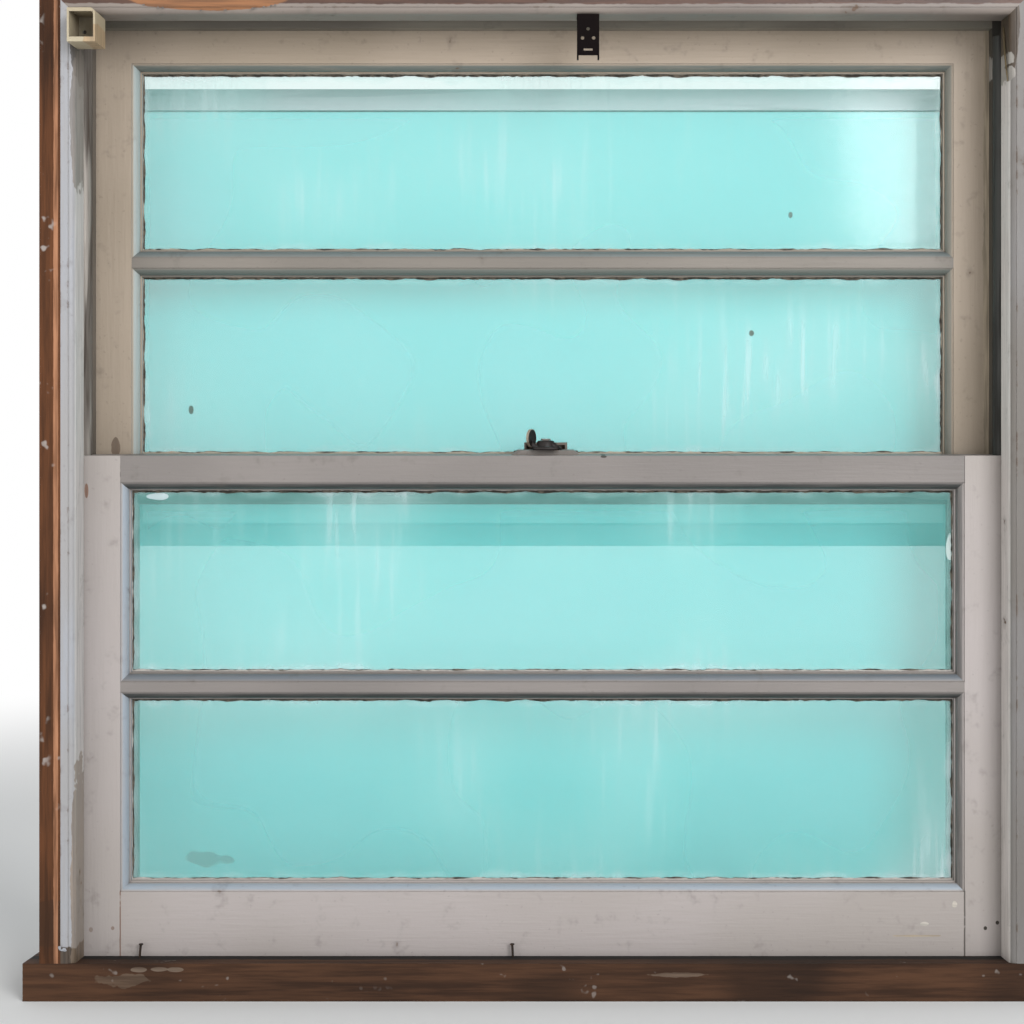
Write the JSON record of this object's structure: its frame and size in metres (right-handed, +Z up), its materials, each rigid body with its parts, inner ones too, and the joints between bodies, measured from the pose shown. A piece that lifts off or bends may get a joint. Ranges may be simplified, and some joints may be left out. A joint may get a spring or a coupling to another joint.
{
  "type": "sash window",
  "caption": "Wooden double-hung sash window in its frame, with sloped sill, stops, tube balances, sash lock and an aluminium storm window outside.",
  "frame": {"origin": "underside of the sill, in the middle of the width, below the room face of the lower sash", "axes": "+X to the right seen from the room, +Y from the room to the outside, +Z up"},
  "size_m": [0.932, 0.2149, 0.9172],
  "materials": {
    "lower_sash_wood": "old off-white paint",
    "upper_sash_wood": "old beige paint",
    "frame_wood": "bare and weathered, with paint remnants",
    "stop_wood": "old white paint",
    "glass": "clear, with dust",
    "putty": "painted glazing putty",
    "storm_aluminium": "mill finish, dull",
    "balance_tube": "dull, streaked",
    "balance_rod": "plated",
    "lock_metal": "old paint over brassed steel",
    "bracket_steel": "dark brown",
    "box_steel": "old cream paint",
    "screw_steel": "dull"
  },
  "bodies": {
    "window_frame": {"sill": "frame_wood", "jamb_left": "frame_wood", "jamb_right": "frame_wood", "head_jamb": "frame_wood", "stop_left": "stop_wood", "stop_right": "stop_wood", "stop_head": "stop_wood", "parting_stop_left": "stop_wood", "parting_stop_right": "stop_wood", "parting_stop_head": "stop_wood", "blind_stop_left": "stop_wood", "blind_stop_right": "stop_wood", "blind_stop_head": "stop_wood", "corner_block": "box_steel", "head_bracket": "bracket_steel", "bracket_screws": "screw_steel", "storm_frame_left": "storm_aluminium", "storm_frame_right": "storm_aluminium", "storm_frame_head": "storm_aluminium", "storm_frame_sill": "storm_aluminium", "balance_tube_lower_left": "balance_tube", "balance_tube_lower_right": "balance_tube", "balance_tube_upper_left": "balance_tube", "balance_tube_upper_right": "balance_tube"},
    "lower_sash": {"lower_stile_left": "lower_sash_wood", "lower_stile_right": "lower_sash_wood", "lower_check_rail": "lower_sash_wood", "lower_muntin": "lower_sash_wood", "lower_bottom_rail": "lower_sash_wood", "lower_glass_top": "glass", "lower_glass_bottom": "glass", "lower_putty": "putty", "lock_base": "lock_metal", "lock_screws": "screw_steel", "balance_rod_lower_left": "balance_rod", "balance_rod_lower_right": "balance_rod"},
    "lock_arm": {"lock_lever": "lock_metal"},
    "upper_sash": {"upper_stile_left": "upper_sash_wood", "upper_stile_right": "upper_sash_wood", "upper_check_rail": "upper_sash_wood", "upper_muntin": "upper_sash_wood", "upper_top_rail": "upper_sash_wood", "upper_glass_top": "glass", "upper_glass_bottom": "glass", "upper_putty": "putty", "lock_keeper": "lock_metal", "keeper_screws": "screw_steel", "balance_rod_upper_left": "balance_rod", "balance_rod_upper_right": "balance_rod"},
    "storm_upper_insert": {"storm_upper_top_rail": "storm_aluminium", "storm_upper_bottom_rail": "storm_aluminium", "storm_upper_stile_left": "storm_aluminium", "storm_upper_stile_right": "storm_aluminium", "storm_upper_glass": "glass"},
    "storm_lower_insert": {"storm_lower_top_rail": "storm_aluminium", "storm_lower_bottom_rail": "storm_aluminium", "storm_lower_stile_left": "storm_aluminium", "storm_lower_stile_right": "storm_aluminium", "storm_lower_glass": "glass"}
  },
  "joints": [
    {"name": "lower_sash_slide", "type": "slide", "parent": "window_frame", "child": "lower_sash", "axis": [0, 0, 1], "range_m": [0, 0.38]},
    {"name": "upper_sash_slide", "type": "slide", "parent": "window_frame", "child": "upper_sash", "axis": [0, 0, 1], "range_m": [-0.38, 0]},
    {"name": "lock_turn", "type": "hinge", "parent": "lower_sash", "child": "lock_arm", "pos_m": [0.003, 0.0267, 0.4928], "axis": [0, 0, 1], "range_deg": [0, 170]},
    {"name": "storm_upper_slide", "type": "slide", "parent": "window_frame", "child": "storm_upper_insert", "axis": [0, 0, 1], "range_m": [-0.368, 0.038]},
    {"name": "storm_lower_slide", "type": "slide", "parent": "window_frame", "child": "storm_lower_insert", "axis": [0, 0, 1], "range_m": [0, 0.42]}
  ]
}
